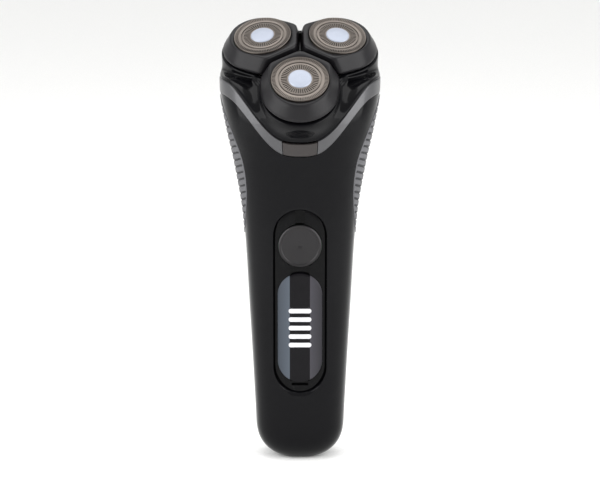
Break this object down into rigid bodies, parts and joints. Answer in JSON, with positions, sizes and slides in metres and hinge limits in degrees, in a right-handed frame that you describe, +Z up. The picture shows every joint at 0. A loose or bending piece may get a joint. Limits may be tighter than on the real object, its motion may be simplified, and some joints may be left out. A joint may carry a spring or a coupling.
{
  "type": "electric shaver",
  "caption": "Cordless rotary shaver with three floating cutter pods, a head that flips open, a round power button, a charge display and a pop-up trimmer.",
  "frame": {"origin": "middle of the flat foot at the bottom of the handle", "axes": "+Z up along the handle, the front with the button and display faces -Y, +X to the right seen from the front"},
  "size_m": [0.0614, 0.0557, 0.1719],
  "materials": {
    "gloss_black": "high gloss moulded ABS",
    "satin_collar": "metallic grey satin paint",
    "release_grey": "metallic brown-grey satin paint",
    "grip_rubber": "soft-touch grey elastomer",
    "pod_grey": "dark grey satin",
    "foil_steel": "warm grey stamped steel",
    "cap_silver": "satin silver",
    "blade_steel": "ground steel",
    "spring_steel": "drawn wire",
    "button_metal": "dark gunmetal, spun",
    "panel_black": "high gloss",
    "window_smoke": "smoked polycarbonate",
    "light_white": "translucent white",
    "board_green": "solder mask",
    "battery_wrap": "shrink wrap",
    "frame_plastic": "moulded nylon",
    "gear_acetal": "natural acetal",
    "motor_can": "zinc plated can",
    "plate_steel": "pressed plate",
    "retainer_blue": "moulded ABS",
    "seal_rubber": "silicone",
    "pin_brass": "gold plated"
  },
  "bodies": {
    "body": {"front_shell": "gloss_black", "rear_shell": "gloss_black", "collar_ring": "satin_collar", "side_grip_left": "grip_rubber", "side_grip_right": "grip_rubber", "release_spring": "spring_steel", "front_panel": "panel_black", "display_window": "window_smoke", "light_guide": "light_white", "button_seal": "seal_rubber", "circuit_board": "board_green", "tact_switch": "spring_steel", "battery_cell": "battery_wrap", "battery_tabs": "spring_steel", "inner_chassis": "frame_plastic", "motor": "motor_can", "motor_plate": "plate_steel", "drive_deck": "frame_plastic", "deck_seals": "seal_rubber", "deck_screws": "spring_steel", "head_hinge_pin": "spring_steel", "trimmer_pin": "spring_steel", "trimmer_bay": "frame_plastic", "charging_inlet": "frame_plastic", "charging_pins": "pin_brass", "inlet_gasket": "seal_rubber", "base_screws": "spring_steel"},
    "release": {"release_button": "release_grey"},
    "power": {"power_button": "button_metal"},
    "pinion": {"motor_pinion": "gear_acetal"},
    "head": {"head_housing": "gloss_black", "pod_frame": "frame_plastic", "retaining_frame": "retainer_blue", "pod_springs": "spring_steel"},
    "knob": {"frame_lock_knob": "retainer_blue"},
    "trimmer": {"trimmer_housing": "gloss_black", "trimmer_comb": "blade_steel"},
    "blade": {"trimmer_blade": "blade_steel"},
    "latch": {"trimmer_latch": "satin_collar"},
    "drive_front": {"drive_gear_front": "gear_acetal", "spindle_front": "gear_acetal", "spindle_spring_front": "spring_steel"},
    "float_front": {"pod_front": "pod_grey", "foil_front": "foil_steel", "foil_cap_front": "cap_silver"},
    "cutter_front": {"cutter_front": "blade_steel"},
    "drive_left": {"drive_gear_left": "gear_acetal", "spindle_left": "gear_acetal", "spindle_spring_left": "spring_steel"},
    "float_left": {"pod_left": "pod_grey", "foil_left": "foil_steel", "foil_cap_left": "cap_silver"},
    "cutter_left": {"cutter_left": "blade_steel"},
    "drive_right": {"drive_gear_right": "gear_acetal", "spindle_right": "gear_acetal", "spindle_spring_right": "spring_steel"},
    "float_right": {"pod_right": "pod_grey", "foil_right": "foil_steel", "foil_cap_right": "cap_silver"},
    "cutter_right": {"cutter_right": "blade_steel"}
  },
  "joints": [
    {"name": "head_hinge", "type": "hinge", "parent": "body", "child": "head", "pos_m": [0, 0.01911, 0.15781], "axis": [-1, 0, 0], "range_deg": [0, 90]},
    {"name": "release_press", "type": "slide", "parent": "body", "child": "release", "axis": [0, 1, 0], "range_m": [0, 0.0008], "stiffness_N_per_m": 600},
    {"name": "power_press", "type": "slide", "parent": "body", "child": "power", "axis": [0, 0.9994, 0.0349], "range_m": [0, 0.0005], "stiffness_N_per_m": 800},
    {"name": "knob_turn", "type": "hinge", "parent": "head", "child": "knob", "pos_m": [0, -0.00373, 0.15072], "axis": [0, -0.5592, 0.829], "range_deg": [0, 80]},
    {"name": "trimmer_flip", "type": "hinge", "parent": "body", "child": "trimmer", "pos_m": [0, 0.0156, 0.10517], "axis": [1, 0, 0], "range_deg": [0, 90]},
    {"name": "blade_stroke", "type": "slide", "parent": "trimmer", "child": "blade", "axis": [1, 0, 0], "range_m": [-0.0006, 0.0006]},
    {"name": "latch_slide", "type": "slide", "parent": "body", "child": "latch", "axis": [0, -0.0663, -0.9978], "range_m": [0, 0.0025], "stiffness_N_per_m": 150},
    {"name": "spindle_spin_front", "type": "hinge", "parent": "body", "child": "drive_front", "pos_m": [0, -0.01567, 0.14026], "axis": [0, -0.5592, 0.829], "continuous": true},
    {"name": "spindle_spin_left", "type": "hinge", "parent": "body", "child": "drive_left", "pos_m": [-0.01364, 0.00392, 0.15347], "axis": [0, -0.5592, 0.829], "continuous": true},
    {"name": "spindle_spin_right", "type": "hinge", "parent": "body", "child": "drive_right", "pos_m": [0.01364, 0.00392, 0.15347], "axis": [0, -0.5592, 0.829], "continuous": true},
    {"name": "pinion_spin", "type": "hinge", "parent": "body", "child": "pinion", "pos_m": [0, -0.00093, 0.14658], "axis": [0, -0.5592, 0.829], "continuous": true},
    {"name": "pod_tilt_front", "type": "hinge", "parent": "head", "child": "float_front", "pos_m": [0, -0.01942, 0.14625], "axis": [1, 0, 0], "range_deg": [-3, 3], "stiffness_Nm_per_rad": 0.08},
    {"name": "cutter_spin_front", "type": "hinge", "parent": "float_front", "child": "cutter_front", "pos_m": [0, -0.02205, 0.14926], "axis": [0, -0.6574, 0.7536], "continuous": true},
    {"name": "pod_tilt_left", "type": "hinge", "parent": "head", "child": "float_left", "pos_m": [-0.01343, -0.00013, 0.15926], "axis": [-0.5, -0.718, -0.4843], "range_deg": [-3, 3], "stiffness_Nm_per_rad": 0.08},
    {"name": "cutter_spin_left", "type": "hinge", "parent": "float_left", "child": "cutter_left", "pos_m": [-0.01386, -0.00215, 0.16268], "axis": [-0.107, -0.5037, 0.8572], "continuous": true},
    {"name": "pod_tilt_right", "type": "hinge", "parent": "head", "child": "float_right", "pos_m": [0.01343, -0.00013, 0.15926], "axis": [-0.5, 0.718, 0.4843], "range_deg": [-3, 3], "stiffness_Nm_per_rad": 0.08},
    {"name": "cutter_spin_right", "type": "hinge", "parent": "float_right", "child": "cutter_right", "pos_m": [0.01386, -0.00215, 0.16268], "axis": [0.107, -0.5037, 0.8572], "continuous": true}
  ],
  "couplings": [
    {"joint": "pinion_spin", "follows": "spindle_spin_front", "ratio": -2.9375},
    {"joint": "spindle_spin_left", "follows": "spindle_spin_front", "ratio": 1},
    {"joint": "spindle_spin_right", "follows": "spindle_spin_front", "ratio": 1},
    {"joint": "cutter_spin_front", "follows": "spindle_spin_front", "ratio": 1},
    {"joint": "cutter_spin_left", "follows": "spindle_spin_front", "ratio": 1},
    {"joint": "cutter_spin_right", "follows": "spindle_spin_front", "ratio": 1}
  ]
}
